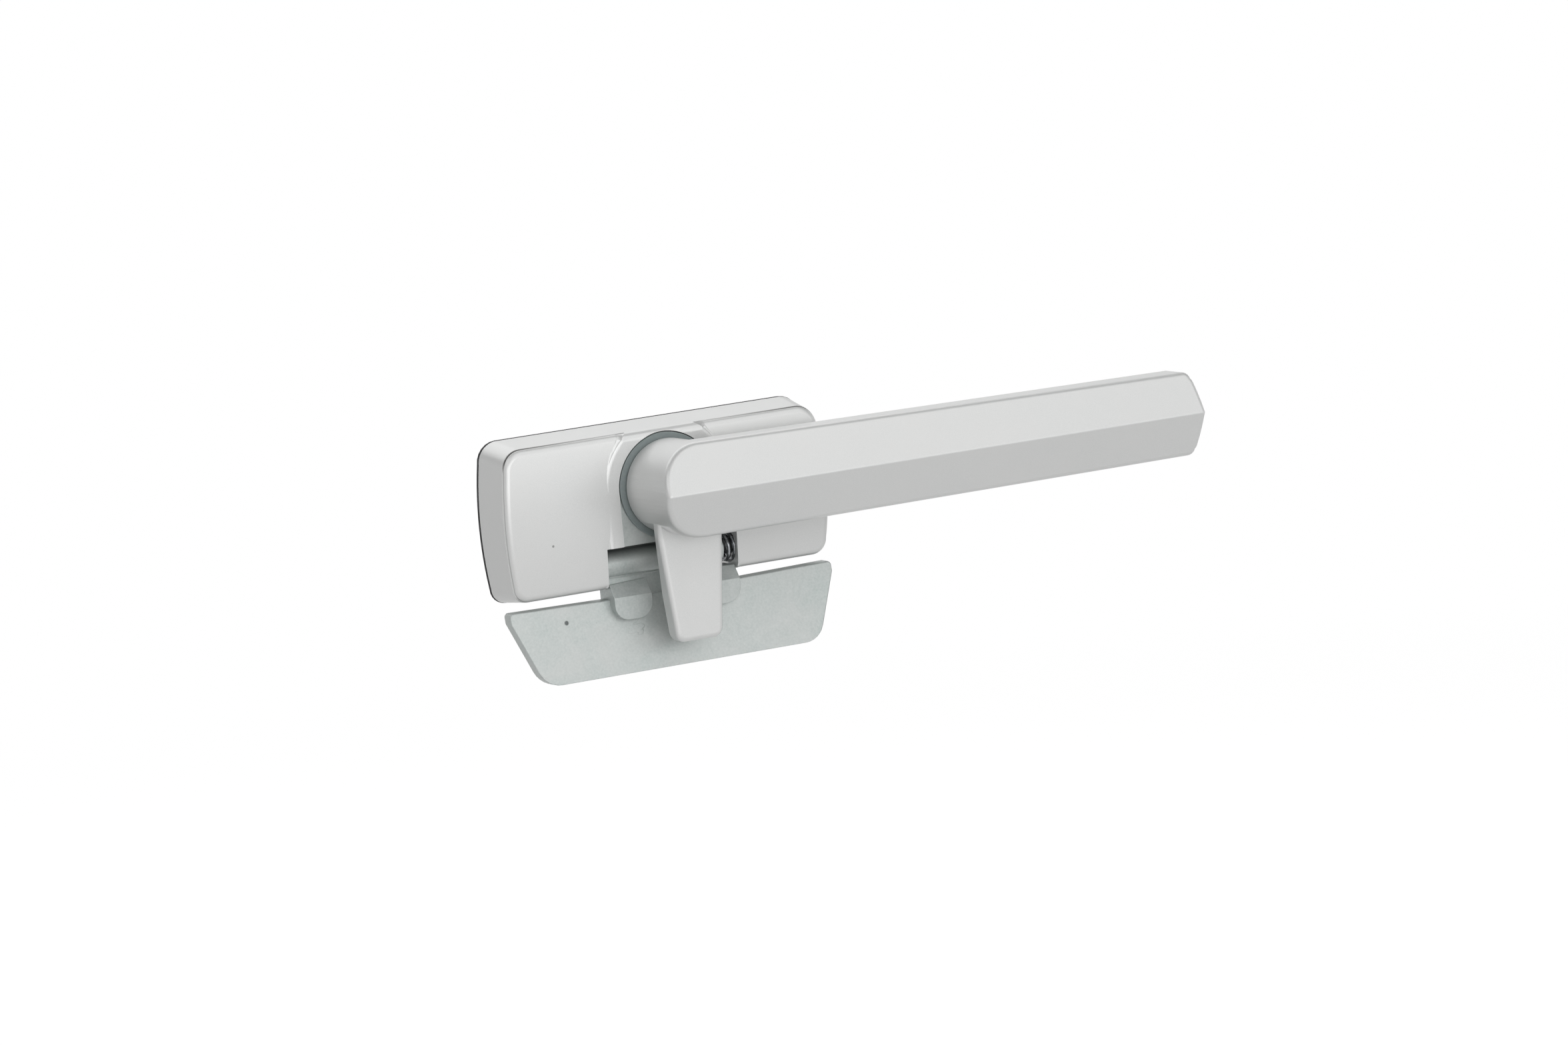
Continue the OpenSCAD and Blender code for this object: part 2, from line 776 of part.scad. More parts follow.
module disc_spring() {
    color("#7f868a")
        translate([0, -disc_h0, 0])
            rotate([90, 0, 0])
                rotate_extrude()
                    polygon([[spindle_r + run_gap, disc_dish], [washer_r, 0],
                        [washer_r, disc_t], [spindle_r + run_gap, disc_dish + disc_t]]);
}

module circlip() {
    color("#6f767a")
        raised(clip_h0, clip_h0 + clip_t)
            difference() {
                circle(washer_r);
                circle(flats_w / 2 - groove_depth + fit_gap);
                translate([0, -washer_r]) square([clip_opening, 2 * washer_r], true);
            }
}

// The plate's ends stand upright over this depth, below a small chamfer
end_upright = 2;
end_chamfer = 0.5;

// Front outline of the tongue's wide plate, right half from the top
function flap_side() =
    let(corner_z = flap_corner_r - flap_bottom,
        slant_top = flap_top + end_upright,
        corner_x = flap_half - (-corner_z - slant_top) * tan(flap_slant) - flap_corner_r / cos(flap_slant))
    concat([[channel_half, -flap_top - flap_dip], [flap_half - end_chamfer, -flap_top],
        [flap_half, -flap_top - end_chamfer], [flap_half, -slant_top]],
        arc(corner_x, corner_z, flap_corner_r, -flap_slant, -90));

module flap_outline() {
    side = flap_side();
    polygon(concat(side, [for (i = [len(side) - 1:-1:0]) [-side[i][0], side[i][1]]]));
}

function flap_face_h(depth) = flap_h + (depth - flap_top) * tan(flap_lean);

module flap_profile() {
    top = flap_top - eps;
    bottom = flap_bottom + eps;
    thick = flap_t / cos(flap_lean);
    polygon([[flap_face_h(top), -top], [flap_face_h(bottom), -bottom],
        [flap_face_h(bottom) - thick, -bottom], [flap_face_h(top) - thick, -top]]);
}

// A boss beside the channel, with rounded lower corners
module boss_outline() {
    mid_low = boss_bottom - boss_corner_r;
    polygon(concat([[channel_half, -pin_z - barrel_r]],
        arc(channel_half + boss_corner_r, -mid_low, boss_corner_r, 180, 270),
        arc(tongue_half - boss_corner_r, -mid_low, boss_corner_r, -90, 0),
        [[tongue_half, -pin_z - barrel_r - free_gap]]));
}

// The web joins the barrel to the plate, and laps over the plate's top edge
web_half = 1.4;
web_step = 0.4;
web_lap = 1.5;
// The spring's lower leg rests against a seat at the barrel's short end
seat_lap = 2;
seat_len = 3;

module tongue() {
    web_back = pin_h - web_half;
    seat_h = pin_h - coil_r + wire_d / 2 + free_gap;
    color("#aab2b1")
        difference() {
            union() {
                intersection() {
                    raised(0, 2 * body_h) flap_outline();
                    across(-flap_half, flap_half) flap_profile();
                }
                translate([0, -pin_h, -pin_z]) round_bar(-tongue_half, barrel_stop, barrel_r);
                raised(web_back, flap_h - web_step)
                    translate([-tongue_half, -flap_top - web_lap])
                        square([tongue_half + barrel_stop, flap_top + web_lap - pin_z]);
                both_sides() raised(web_back, boss_h) boss_outline();
                translate([barrel_stop - seat_lap, -flap_h, -flap_top - web_lap])
                    cube([tongue_half - barrel_stop + seat_lap, flap_h - seat_h, seat_len]);
            }
            translate([0, -pin_h, -pin_z]) round_bar(-body_w, body_w, pin_r + run_gap);
            pad_peg_places() cylinder(h = flap_t, r = peg_r + fit_gap, center = true);
        }
}

// The pad's frame lies on the plate's back face, with its z axis out of that face
module pad_frame() {
    depth = flap_bottom - pad_inset - pad_w / 2;
    thick = flap_t / cos(flap_lean);
    translate([0, -(flap_face_h(depth) - thick), -depth])
        rotate([-90 - flap_lean, 0, 0]) children();
}

module pad_peg_places() {
    pad_frame() for (x = [-peg_x, peg_x]) translate([x, 0, 0]) children();
}

module tongue_pad() {
    color("#e4e3dc") {
        pad_frame() translate([-pad_half, -pad_w / 2, fit_gap]) cube([2 * pad_half, pad_w, pad_t]);
        pad_peg_places() translate([0, 0, -flap_t / 2 + fit_gap]) cylinder(h = flap_t / 2 + eps, r = peg_r);
    }
}

base_gasket();
body_casting();
back_plate();
back_plate_screws();
fixing_inserts();
bearing_plate();
bearing_plate_screws();
hub_bush();
stop_pins();
friction_washer();
tongue_pin();
pin_keepers();
tongue_spring();
handle();
spindle();
stop_washer();
disc_spring();
circlip();
tongue();
tongue_pad();
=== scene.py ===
import json
import math

import bmesh
import bpy
from mathutils import Matrix, Vector

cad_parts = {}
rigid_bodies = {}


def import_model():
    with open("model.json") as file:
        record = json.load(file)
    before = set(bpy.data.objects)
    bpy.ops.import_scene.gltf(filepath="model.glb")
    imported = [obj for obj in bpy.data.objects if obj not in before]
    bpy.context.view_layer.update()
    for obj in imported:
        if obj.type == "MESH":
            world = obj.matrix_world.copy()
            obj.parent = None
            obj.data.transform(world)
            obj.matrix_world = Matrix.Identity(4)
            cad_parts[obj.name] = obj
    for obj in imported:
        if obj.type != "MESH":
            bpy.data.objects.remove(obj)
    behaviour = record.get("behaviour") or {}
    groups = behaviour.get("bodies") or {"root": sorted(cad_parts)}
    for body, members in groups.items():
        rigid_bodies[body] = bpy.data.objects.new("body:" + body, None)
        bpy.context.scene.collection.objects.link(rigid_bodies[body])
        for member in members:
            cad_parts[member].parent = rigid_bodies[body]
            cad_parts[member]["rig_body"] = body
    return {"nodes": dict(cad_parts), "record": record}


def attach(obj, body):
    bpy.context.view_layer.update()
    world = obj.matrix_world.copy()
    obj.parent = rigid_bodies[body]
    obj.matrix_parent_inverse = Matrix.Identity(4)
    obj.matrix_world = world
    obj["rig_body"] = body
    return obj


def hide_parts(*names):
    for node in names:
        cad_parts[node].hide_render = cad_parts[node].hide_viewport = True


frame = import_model()
nodes = frame["nodes"]
scene = bpy.context.scene
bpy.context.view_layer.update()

MM = 0.001


def spot(x, h, z):
    """A point from its place across, height off the mounting plane and place up, in millimetres."""
    return Vector((x, -h, z)) * MM


# Camera

PHOTO_WIDTH, SENSOR, FOCAL_PIXELS = 2352, 36.0, 10921.85
TURN, TILT, LEAN = math.radians(-27.68), math.radians(7.58), math.radians(5.47)
ASIDE, BELOW, AWAY = 27.32, -7.99, 1411.1


def make_camera():
    flat = math.cos(TILT)
    back = Vector((math.sin(TURN) * flat, -math.cos(TURN) * flat, math.sin(TILT)))
    level = Vector((math.cos(TURN), math.sin(TURN), 0))
    rise = back.cross(level)
    right = math.cos(LEAN) * level - math.sin(LEAN) * rise
    up = math.sin(LEAN) * level + math.cos(LEAN) * rise
    data = bpy.data.cameras.new("camera")
    data.sensor_width = SENSOR
    data.lens = FOCAL_PIXELS * SENSOR / PHOTO_WIDTH
    data.clip_start, data.clip_end = 0.05, 50
    camera = bpy.data.objects.new("camera", data)
    turned = Matrix((right, up, back)).transposed().to_4x4()
    stand = (ASIDE * right + BELOW * up + AWAY * back) * MM
    camera.matrix_world = Matrix.Translation(stand) @ turned
    scene.collection.objects.link(camera)
    scene.camera = camera


make_camera()
scene.view_settings.view_transform = "Standard"


# Materials

# Share of a dot's radius that has its full colour
DOT_CORE = 0.6


def ramp(tree, source, start, end, low, high):
    """The source's range from start to end, carried over to low and high."""
    node = tree.nodes.new("ShaderNodeMapRange")
    sockets = ("From Min", "From Max", "To Min", "To Max")
    for socket, value in zip(sockets, (start, end, low, high)):
        node.inputs[socket].default_value = value
    tree.links.new(source, node.inputs["Value"])
    return node.outputs["Result"]


class Finish:
    """A node material with one Principled shader, and short ways to wire patterns into it."""

    def __init__(self, name, **fixed):
        self.material = bpy.data.materials.new(name)
        self.material.use_nodes = True
        self.tree = self.material.node_tree
        self.shader = self.tree.nodes["Principled BSDF"]
        for socket, value in fixed.items():
            self.shader.inputs[socket.replace("_", " ")].default_value = value
        self.place = self.add("ShaderNodeTexCoord").outputs["Object"]

    def add(self, kind, **settings):
        node = self.tree.nodes.new(kind)
        for key, value in settings.items():
            setattr(node, key, value)
        return node

    def link(self, source, target):
        self.tree.links.new(source, target)

    def stretched(self, scale, turn=(0, 0, 0)):
        mapping = self.add("ShaderNodeMapping")
        mapping.inputs["Scale"].default_value = scale
        mapping.inputs["Rotation"].default_value = turn
        self.link(self.place, mapping.inputs["Vector"])
        return mapping.outputs["Vector"]

    def noise(self, scale, detail=4, rough=0.5, place=None, twist=0):
        node = self.add("ShaderNodeTexNoise")
        node.inputs["Scale"].default_value = scale
        node.inputs["Detail"].default_value = detail
        node.inputs["Roughness"].default_value = rough
        node.inputs["Distortion"].default_value = twist
        self.link(place or self.place, node.inputs["Vector"])
        return node.outputs["Fac"]

    def specks(self, scale, radius, rarity):
        """Small round dots: 1 inside a dot, in the few cells that have one."""
        cells = self.add("ShaderNodeTexVoronoi")
        cells.inputs["Scale"].default_value = scale
        self.link(self.place, cells.inputs["Vector"])
        colour = self.add("ShaderNodeSeparateColor")
        self.link(cells.outputs["Color"], colour.inputs[0])
        chosen = self.spread(colour.outputs[0], rarity, rarity + 0.01, 0, 1)
        inside = self.spread(cells.outputs["Distance"], radius * DOT_CORE, radius, 1, 0)
        return self.sum(inside, chosen, "MULTIPLY")

    def dot(self, x, h, z, radius):
        """1 within a small radius of one place, in millimetres."""
        away = self.add("ShaderNodeVectorMath", operation="DISTANCE")
        self.link(self.place, away.inputs[0])
        away.inputs[1].default_value = spot(x, h, z)
        return self.spread(away.outputs["Value"], radius * DOT_CORE * MM, radius * MM, 1, 0)

    def own(self, name):
        """A value that the piece's mesh carries at its corners."""
        return self.add("ShaderNodeAttribute", attribute_name=name).outputs["Fac"]

    def band(self, axis, low, peak, high):
        """1 at a place along an axis in millimetres, fading to 0 on both sides."""
        parts = self.add("ShaderNodeSeparateXYZ")
        self.link(self.place, parts.inputs[0])
        along = parts.outputs[axis]
        rise = self.spread(along, low * MM, peak * MM, 0, 1)
        fall = self.spread(along, peak * MM, high * MM, 1, 0)
        return self.sum(rise, fall, "MINIMUM")

    def spread(self, source, low, high, out_low, out_high):
        return ramp(self.tree, source, low, high, out_low, out_high)

    def sum(self, first, second, how="ADD"):
        node = self.add("ShaderNodeMath", operation=how)
        for socket, value in zip(node.inputs, (first, second)):
            if isinstance(value, (int, float)):
                socket.default_value = value
            else:
                self.link(value, socket)
        return node.outputs[0]

    def blend(self, amount, first, second):
        node = self.add("ShaderNodeMix", data_type="RGBA")
        self.link(amount, node.inputs[0])
        for socket, value in ((node.inputs[6], first), (node.inputs[7], second)):
            if isinstance(value, tuple):
                socket.default_value = (*value, 1)
            else:
                self.link(value, socket)
        return node.outputs[2]

    def colour(self, source):
        self.link(source, self.shader.inputs["Base Color"])

    def roughness(self, source):
        self.link(source, self.shader.inputs["Roughness"])

    def bump(self, source, depth_mm, strength=1.0):
        node = self.add("ShaderNodeBump")
        node.inputs["Strength"].default_value = strength
        node.inputs["Distance"].default_value = depth_mm * MM
        self.link(source, node.inputs["Height"])
        if self.shader.inputs["Normal"].is_linked:
            self.link(self.shader.inputs["Normal"].links[0].from_socket, node.inputs["Normal"])
        self.link(node.outputs["Normal"], self.shader.inputs["Normal"])


# The seam's colour is painted shade in the fine groove along the body's top front edge
SEAM_SHADE_COLOUR, SPECK_COLOUR = (0.1, 0.1, 0.095), (0.3, 0.31, 0.3)
# The barrel's colour is painted shadow from the body's overhang
BARREL_SHADOW_COLOUR, CRACK_COLOUR = (0.05, 0.055, 0.055), (0.16, 0.18, 0.17)
PIT_COLOUR = (0.12, 0.13, 0.13)
BODY_SPECK, BODY_SPECK_RADIUS = (-25.55, 10.2, -8.24), 0.3
PLATE_PIT, PLATE_PIT_RADIUS = (-23.57, 8.6, -23.56), 0.55
CRACK_LEVELS, CRACK_PLACES = (-30, -26.5, -24), (-13, -6, 0)
# Levels in millimetres of the painted shadow on the barrel's top
BARREL_SHADOW_LEVELS = (-13.6, -11.4, -10.8)


def silver_paint():
    """Satin silver paint with fine flakes, a few specks, and painted shade in the fine seam."""
    paint = Finish("silver_paint", Metallic=0.38, Coat_Weight=0.1, Coat_Roughness=0.25)
    cloud = paint.noise(60, 3)
    flake = paint.noise(6500, 2, 0.6)
    glint = paint.spread(flake, 0.35, 0.65, 0, 1)
    tone = paint.blend(glint, (0.655, 0.665, 0.66), (0.705, 0.71, 0.705))
    tone = paint.blend(paint.spread(cloud, 0.3, 0.7, 0, 0.5), tone, (0.7, 0.7, 0.69))
    tone = paint.blend(paint.specks(150, 0.035, 0.9), tone, SPECK_COLOUR)
    tone = paint.blend(paint.dot(*BODY_SPECK, BODY_SPECK_RADIUS), tone, SPECK_COLOUR)
    # Painted shade in the seam, from the value that the body's corners carry
    paint.colour(paint.blend(paint.own("shaded_seam"), tone, SEAM_SHADE_COLOUR))
    paint.roughness(paint.spread(flake, 0.3, 0.7, 0.33, 0.43))
    paint.bump(paint.noise(900, 3, 0.55), 0.012, 0.5)
    paint.bump(flake, 0.002, 0.4)
    return paint.material


def raw_zinc():
    """Dull cast zinc with grain, faint cracks by the left boss, and painted shadow above the
    barrel.
    """
    zinc = Finish("raw_zinc", Metallic=0.5)
    patch = zinc.noise(110, 6, 0.6, twist=0.6)
    grain = zinc.noise(2200, 4, 0.6)
    cloud = zinc.spread(patch, 0.32, 0.68, 0, 1)
    tone = zinc.blend(cloud, (0.4, 0.44, 0.43), (0.54, 0.565, 0.555))
    tone = zinc.blend(zinc.spread(grain, 0.3, 0.75, 0, 0.35), tone, (0.7, 0.715, 0.7))
    flow = zinc.noise(75, 3, 0.5, zinc.stretched((1, 1, 1.8), (0.3, 0.2, 0.5)), 1.6)
    ridge = zinc.sum(flow, 0.5, "SUBTRACT")
    line = zinc.spread(zinc.sum(ridge, ridge, "MULTIPLY"), 0, 0.00006, 1, 0)
    near_boss = zinc.sum(zinc.band("Z", *CRACK_LEVELS), zinc.band("X", *CRACK_PLACES), "MULTIPLY")
    where = zinc.sum(zinc.spread(zinc.noise(38, 2), 0.58, 0.66, 0, 0.5), near_boss)
    crack = zinc.sum(line, zinc.sum(where, 1, "MINIMUM"), "MULTIPLY")
    tone = zinc.blend(zinc.sum(crack, 0.6, "MULTIPLY"), tone, CRACK_COLOUR)
    tone = zinc.blend(zinc.specks(120, 0.05, 0.85), tone, (0.2, 0.22, 0.21))
    tone = zinc.blend(zinc.dot(*PLATE_PIT, PLATE_PIT_RADIUS), tone, PIT_COLOUR)
    # Painted shadow on the barrel's top, under the body's overhang
    barrel_shadow = zinc.sum(zinc.band("Z", *BARREL_SHADOW_LEVELS), 0.85, "MULTIPLY")
    zinc.colour(zinc.blend(barrel_shadow, tone, BARREL_SHADOW_COLOUR))
    zinc.roughness(zinc.spread(patch, 0.3, 0.7, 0.42, 0.6))
    zinc.bump(patch, 0.05, 0.5)
    zinc.bump(grain, 0.008, 0.5)
    zinc.bump(crack, -0.03, 0.6)
    return zinc.material


def moulded(name, dark, light, rough, texture=1500):
    """Plastic or rubber with a fine moulded grain."""
    plastic = Finish(name, Metallic=0.0)
    grain = plastic.noise(texture, 3, 0.5)
    plastic.colour(plastic.blend(grain, dark, light))
    plastic.roughness(plastic.spread(grain, 0.3, 0.7, rough - 0.05, rough + 0.07))
    plastic.bump(grain, 0.01, 0.4)
    return plastic.material


def plated_steel(name, dark, light, rough, along=(1, 1, 1)):
    """Metal with fine streaks, which run along the axis with the smallest scale."""
    steel = Finish(name, Metallic=0.9)
    streak = steel.noise(900, 5, 0.6, steel.stretched(along))
    cloud = steel.noise(90, 3)
    tone = steel.blend(steel.spread(streak, 0.3, 0.7, 0, 1), dark, light)
    steel.colour(steel.blend(steel.spread(cloud, 0.35, 0.7, 0, 0.3), tone, dark))
    steel.roughness(steel.spread(streak, 0.3, 0.7, rough - 0.07, rough + 0.08))
    steel.bump(streak, 0.004, 0.4)
    return steel.material


finishes = {
    "silver_paint": silver_paint(),
    "raw_zinc": raw_zinc(),
    "bush_plastic": moulded("bush_plastic", (0.2, 0.235, 0.235), (0.26, 0.3, 0.3), 0.5),
    "gasket_rubber": moulded(
        "gasket_rubber", (0.014, 0.014, 0.015), (0.024, 0.024, 0.026), 0.65, 2500),
    "keeper_plastic": moulded("keeper_plastic", (0.032, 0.036, 0.04), (0.05, 0.055, 0.06), 0.48),
    "slide_plastic": moulded("slide_plastic", (0.7, 0.69, 0.63), (0.78, 0.77, 0.71), 0.42),
    "sheet_steel": plated_steel(
        "sheet_steel", (0.42, 0.43, 0.45), (0.58, 0.59, 0.6), 0.36, (0.15, 1, 1)),
    "screw_steel": plated_steel(
        "screw_steel", (0.36, 0.37, 0.38), (0.5, 0.51, 0.52), 0.3, (1, 1, 0.25)),
    "spring_steel": plated_steel("spring_steel", (0.22, 0.23, 0.24), (0.42, 0.43, 0.45), 0.28),
    "insert_brass": plated_steel(
        "insert_brass", (0.5, 0.36, 0.15), (0.72, 0.56, 0.28), 0.32, (1, 0.1, 1)),
}
slot_of = {part["node"]: part["material_slot"] for part in frame["record"]["subparts"]}
body_of = {name: node["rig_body"] for name, node in nodes.items()}


# Mesh helpers

# Distances in millimetres within which corners count as one
CAD_JOIN, CUT_JOIN, ROUND_JOIN = 0.002, 0.003, 0.002
FLAT_WITHIN = math.radians(0.2)


def to_object(bm, name):
    mesh = bpy.data.meshes.new(name)
    bm.to_mesh(mesh)
    bm.free()
    made = bpy.data.objects.new(name, mesh)
    scene.collection.objects.link(made)
    return made


def plain_mesh(made):
    """The object's mesh with its modifiers worked in, or a curve's as a mesh."""
    made_up = made.evaluated_get(bpy.context.evaluated_depsgraph_get())
    return bpy.data.meshes.new_from_object(made_up)


def smooth(made, sharp=32):
    for face in made.data.polygons:
        face.use_smooth = True
    made.data.set_sharp_from_angle(angle=math.radians(sharp))
    weighted = made.modifiers.new("even normals", "WEIGHTED_NORMAL")
    weighted.keep_sharp = True
    weighted.weight = 80


def stand_for(made, node, sharp=32):
    """Gives a finished piece the finish of its node's slot and its node's body, in the node's
    stead.
    """
    made.data.materials.clear()
    made.data.materials.append(finishes[slot_of[node]])
    smooth(made, sharp)
    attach(made, body_of[node])
    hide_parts(node)


def joined_copy(mesh, within):
    """A mesh joined up for shaping, with flat faces made whole."""
    bm = bmesh.new()
    bm.from_mesh(mesh)
    bmesh.ops.remove_doubles(bm, verts=bm.verts, dist=within * MM)
    bmesh.ops.dissolve_limit(bm, angle_limit=FLAT_WITHIN, verts=bm.verts, edges=bm.edges)
    return bm


def solid_copy(node):
    return joined_copy(nodes[node].data, CAD_JOIN)


def combine(made, other, how):
    """Adds, cuts or crosses two closed pieces, and keeps the result as a plain mesh."""
    step = made.modifiers.new("combine", "BOOLEAN")
    step.operation = how
    step.solver = "MANIFOLD"
    step.object = other
    shape = plain_mesh(made)
    made.modifiers.clear()
    made.data = shape
    bpy.data.objects.remove(other)
    return made


def weigh_edges(bm, weight_of):
    """Gives each edge its share of the largest rounding."""
    layer = bm.edges.layers.float.new("bevel_weight_edge")
    for edge in bm.edges:
        if len(edge.link_faces) == 2:
            edge[layer] = weight_of(edge)


def round_edges(made, width, steps, clamp=True):
    """Rounds the weighed edges. Clamped, the shortest edge beside one of them limits them all."""
    bevel = made.modifiers.new("rounded edges", "BEVEL")
    bevel.limit_method = "WEIGHT"
    bevel.width = width * MM
    bevel.segments = steps
    bevel.use_clamp_overlap = clamp
    bevel.harden_normals = False
    weld = made.modifiers.new("joined corners", "WELD")
    weld.merge_threshold = ROUND_JOIN * MM


def push_out(bm, face, way):
    """Pulls a flat face out into a solid."""
    grown = bmesh.ops.extrude_face_region(bm, geom=[face], use_keep_orig=True)["geom"]
    corners = [item for item in grown if isinstance(item, bmesh.types.BMVert)]
    bmesh.ops.translate(bm, verts=corners, vec=way)


def is_sharp(edge, degrees=30):
    return edge.calc_face_angle(0) > math.radians(degrees)


# An edge's two ends in millimetres: heights off the mounting plane, levels upwards, places across


def heights(edge):
    return [-v.co.y / MM for v in edge.verts]


def levels(edge):
    return [v.co.z / MM for v in edge.verts]


def across(edge):
    return [v.co.x / MM for v in edge.verts]


# Body

BODY_BACK, BODY_FRONT, INSET, BACK_EASE = 0.6, 10.37, 0.06, 0.12
# Half width, top and bottom, each with the lean that it has at the front
BODY_SIZES, BODY_LEANS, SIDE_BOW = (36.0, 12.4, 19.0), (0.9, 1.4, 0.6), 0.9
TOP_CORNER, BOTTOM_CORNER, CORNER_STEPS = 4.2, 3.0, 12
# The front's two crown radii, the level where they meet, and the height from which they apply
UPPER_CROWN, LOWER_CROWN, CROWN_LEVEL, CROWN_FROM = 105.0, 130.0, -1.5, 5.0
FRONT_ROUND, PAD_ROUND, ROUND_STEPS = 1.2, 1.5, 8
# The seam in steps along the rounded edge, and the levels between which its painted shade fades in
SEAM_STEPS, SEAM_FLANK, SEAM_DEEP, SEAM_SHADE_LEVELS = (0.6, 2.1), 0.25, 0.1, (7.0, 9.0)
SEAM_NEAR = 0.01
PAD_EDGE, PAD_FALL, PAD_REACH, PAD_STEPS, PAD_TURN_STEPS = 12.7, 0.36, 1.9, 10, 72
PAD_FOOT, PAD_RISE, PAD_DRAW, PAD_PAST = 1.0, 0.3, 0.6, 3
POCKET_RADIUS, BAY_HALF = 10.5, 14.1
CUT_ROUND, CUT_STEPS, CUT_SLACK, CUT_HEIGHT, BAY_LEVEL = 0.22, 3, 0.15, 8.6, 0.5


def arc(cx, cy, radius, start, end, steps):
    """Points along an arc, from its centre, radius and angles in degrees."""
    turns = [math.radians(start + (end - start) * i / steps) for i in range(steps + 1)]
    return [(cx + radius * math.cos(a), cy + radius * math.sin(a)) for a in turns]


def body_outline(half, top, bottom, inset):
    """The body's outline with bowed sides, from the bottom right round to the bottom left."""
    high_corner, low_corner, steps = TOP_CORNER - inset, BOTTOM_CORNER - inset, CORNER_STEPS
    low, high = low_corner - bottom, top - high_corner
    middle, span, edge = (high + low) / 2, (high - low) / 2, half - SIDE_BOW
    side = arc(edge - low_corner, low, low_corner, -90, 0, steps)
    side += [(half - SIDE_BOW * (i / steps) ** 2, middle + span * i / steps)
             for i in range(1 - steps, steps)]
    side += arc(edge - high_corner, high, high_corner, 0, 90, steps)
    return side + [(-x, z) for x, z in reversed(side)]


def skin(bm, rings):
    """Closes a stack of rings of points into a solid, and gives back its corners, ring by ring."""
    rows = [[bm.verts.new(spot(*point)) for point in ring] for ring in rings]
    loops = [[bm.edges.new((row[i - 1], row[i])) for i in range(len(row))] for row in rows]
    for low, high in zip(loops, loops[1:]):
        bmesh.ops.bridge_loops(bm, edges=low + high)
    bm.faces.new(rows[0])
    bm.faces.new(rows[-1])
    return rows


def body_ring(h, inset):
    """The body's outline at a height off the mounting plane, drawn in by an inset."""
    lean = (h - BODY_BACK) / (BODY_FRONT - BODY_BACK)
    half, top, bottom = (size - slope * lean - INSET - inset
                         for size, slope in zip(BODY_SIZES, BODY_LEANS))
    return [(x, h, z) for x, z in body_outline(half, top, bottom, inset)]


def crown_fall(z):
    """How far the crowned front has fallen away at a level."""
    radius = UPPER_CROWN if z > CROWN_LEVEL else LOWER_CROWN
    return (z - CROWN_LEVEL) ** 2 / (2 * radius)


def round_ring(rounding, step, deep=0.0):
    """A ring on the rounded front edge, a number of steps after its start."""
    turn = math.pi / 2 * step / ROUND_STEPS
    h = BODY_FRONT - rounding + (rounding - deep) * math.sin(turn)
    return body_ring(h, rounding - (rounding - deep) * math.cos(turn))


# Where the floor of the seam runs, filled in by the crowned block; its corners there take painted
# shade
seam_places = []


def body_block(crowned, rounding):
    """The body's outer shape as a solid block.

    The crowned one has a fine seam along its front edge, in place of the rounding's first steps.
    """
    rings = [body_ring(BODY_BACK, BACK_EASE), body_ring(BODY_BACK + BACK_EASE, 0)]
    steps = [(step, 0) for step in range(ROUND_STEPS + 1)]
    shaded_seam = slice(0, 0)
    if crowned:
        first, last = SEAM_STEPS
        after = last + SEAM_FLANK
        groove = [(first, SEAM_DEEP), (last, SEAM_DEEP)]
        plain = [step for step in steps if step[0] > after]
        steps = [(0, 0), (first - SEAM_FLANK, 0)] + groove + [(after, 0)] + plain
        start = len(rings) + steps.index(groove[0])
        shaded_seam = slice(start, start + len(groove))
    rings += [round_ring(rounding, step, deep) for step, deep in steps]
    bm = bmesh.new()
    rows = skin(bm, rings)
    # Level cuts across the front face let it take the crown
    lid = rows[-1]
    for i in range(1, len(lid) // 2 - 1):
        bmesh.ops.connect_vert_pair(bm, verts=[lid[i], lid[-1 - i]])
    if crowned:
        for v in bm.verts:
            if v.co.y < -CROWN_FROM * MM:
                v.co.y += crown_fall(v.co.z / MM) * MM
        seam_places.extend(v.co.copy() for row in rows[shaded_seam] for v in row)
    bmesh.ops.recalc_face_normals(bm, faces=bm.faces)
    return to_object(bm, "block")


def pad_block():
    """Keyhole-shaped block round the hub, whose edge falls away in a soft curve."""
    outs = [PAD_REACH * i / PAD_STEPS for i in range(PAD_STEPS + 1)]
    falls = [(BODY_FRONT - PAD_FALL * out * out, PAD_EDGE + out) for out in outs]
    foot, crest = (PAD_FOOT, PAD_EDGE + PAD_REACH), (BODY_FRONT + PAD_RISE, PAD_EDGE - PAD_DRAW)
    floor = -BODY_SIZES[2] - PAD_PAST
    rings = []
    for h, radius in [foot] + falls[::-1] + [crest]:
        outline = [(radius, floor)] + arc(0, 0, radius, 0, 180, PAD_TURN_STEPS) + [(-radius, floor)]
        rings.append([(x, h, z) for x, z in outline])
    bm = bmesh.new()
    skin(bm, rings)
    bmesh.ops.recalc_face_normals(bm, faces=bm.faces)
    return to_object(bm, "pad")


def on_cut_edge(edge):
    """True for the front edges of the hub's pocket and of the tongue's bay."""
    if len(edge.link_faces) != 2 or not is_sharp(edge, 50) or min(heights(edge)) < CUT_HEIGHT:
        return False
    reaches = [math.hypot(v.co.x, v.co.z) / MM for v in edge.verts]
    low, wide = max(levels(edge)) < BAY_LEVEL, max(map(abs, across(edge)))
    return max(reaches) < POCKET_RADIUS + CUT_SLACK or low and wide < BAY_HALF + CUT_SLACK


